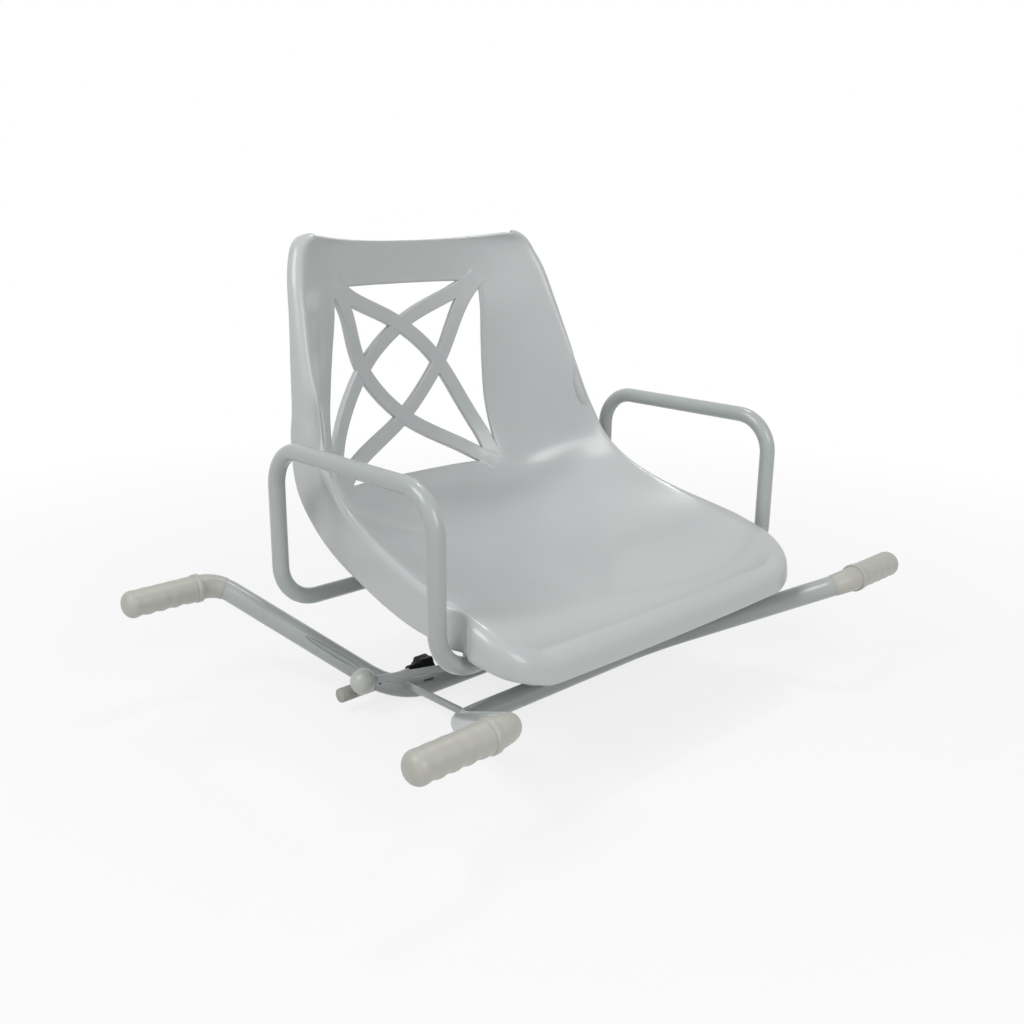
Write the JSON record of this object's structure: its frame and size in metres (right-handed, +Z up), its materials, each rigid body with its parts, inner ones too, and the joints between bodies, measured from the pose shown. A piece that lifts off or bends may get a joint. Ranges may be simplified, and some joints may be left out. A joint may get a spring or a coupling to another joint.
{
  "type": "swivel bath seat",
  "caption": "Moulded bath seat with lattice backrest and tubular armrests, swivelling and locking on a bent-tube frame whose soft-sleeved ends rest on the bath's rims.",
  "frame": {"origin": "middle of the bounding box at its bottom, on the seat's turning axis, at the underside of the two bars", "axes": "+Z up; -Y is where the seat faces; +X is the left-hand side of the person in the seat"},
  "size_m": [0.7486, 0.511, 0.4966],
  "materials": {
    "seat_shell": "pale grey moulded plastic with a satin gloss",
    "coated_steel": "grey powder-coated steel tube and plate",
    "soft_sleeve": "beige-grey soft plastic grip, matt",
    "zinc_plated_steel": "bright zinc-plated steel",
    "nylon": "natural nylon",
    "black_knob": "black moulded plastic",
    "grey_rubber": "grey rubber, matt",
    "ball_knob": "grey moulded ball with a soft gloss"
  },
  "bodies": {
    "frame": {"base_plate": "coated_steel", "base_plate_screw_front_left": "zinc_plated_steel", "base_plate_screw_front_right": "zinc_plated_steel", "base_plate_screw_rear_left": "zinc_plated_steel", "base_plate_screw_rear_right": "zinc_plated_steel", "front_tube": "coated_steel", "glide_ring": "nylon", "lever_pin": "zinc_plated_steel", "lever_spring": "zinc_plated_steel", "pivot_bolt": "zinc_plated_steel", "pivot_nut": "zinc_plated_steel", "pivot_washer": "zinc_plated_steel", "rear_tube": "coated_steel", "rim_sleeve_front_left": "soft_sleeve", "rim_sleeve_front_right": "soft_sleeve", "rim_sleeve_rear_left": "soft_sleeve", "rim_sleeve_rear_right": "soft_sleeve", "stop_boss_left": "coated_steel", "stop_boss_right": "coated_steel", "tie_rod_left": "coated_steel", "tie_rod_right": "coated_steel"},
    "seat": {"armrest_left": "coated_steel", "armrest_right": "coated_steel", "column": "coated_steel", "locking_disc": "zinc_plated_steel", "pivot_bush": "nylon", "rail_bolt_front_left": "zinc_plated_steel", "rail_bolt_front_right": "zinc_plated_steel", "rail_bolt_rear_left": "zinc_plated_steel", "rail_bolt_rear_right": "zinc_plated_steel", "seat_plate": "coated_steel", "seat_rail_left": "coated_steel", "seat_rail_right": "coated_steel", "seat_screw_front_left": "zinc_plated_steel", "seat_screw_front_right": "zinc_plated_steel", "seat_screw_rear_left": "zinc_plated_steel", "seat_screw_rear_right": "zinc_plated_steel", "seat_shell": "seat_shell"},
    "lever": {"lever_ball": "ball_knob", "lock_lever": "coated_steel"},
    "left_stop_pad": {"stop_buffer_left": "grey_rubber"},
    "left_stop_screw": {"stop_knob_left": "black_knob", "stop_screw_left": "zinc_plated_steel"},
    "right_stop_pad": {"stop_buffer_right": "grey_rubber"},
    "right_stop_screw": {"stop_knob_right": "black_knob", "stop_screw_right": "zinc_plated_steel"}
  },
  "joints": [
    {"name": "seat_swivel", "type": "hinge", "parent": "frame", "child": "seat", "pos_m": [0, 0, 0.035], "axis": [0, 0, 1], "continuous": true},
    {"name": "lever_release", "type": "hinge", "parent": "frame", "child": "lever", "pos_m": [-0.052, 0.014, 0.032], "axis": [0, 0, 1], "range_deg": [0, 14], "stiffness_Nm_per_rad": 0.6, "springref_deg": -17.19},
    {"name": "left_stop_travel", "type": "slide", "parent": "frame", "child": "left_stop_pad", "axis": [1, 0, 0], "range_m": [0, 0.012]},
    {"name": "left_stop_turn", "type": "hinge", "parent": "left_stop_pad", "child": "left_stop_screw", "pos_m": [0.15, 0.071, 0.0215], "axis": [1, 0, 0], "range_deg": [0, 2886]},
    {"name": "right_stop_travel", "type": "slide", "parent": "frame", "child": "right_stop_pad", "axis": [-1, 0, 0], "range_m": [0, 0.012]},
    {"name": "right_stop_turn", "type": "hinge", "parent": "right_stop_pad", "child": "right_stop_screw", "pos_m": [-0.15, 0.071, 0.0215], "axis": [-1, 0, 0], "range_deg": [0, 2886]}
  ],
  "couplings": [
    {"joint": "left_stop_turn", "follows": "left_stop_travel", "rad_per_m": 4188.8},
    {"joint": "right_stop_turn", "follows": "right_stop_travel", "rad_per_m": 4188.8}
  ]
}
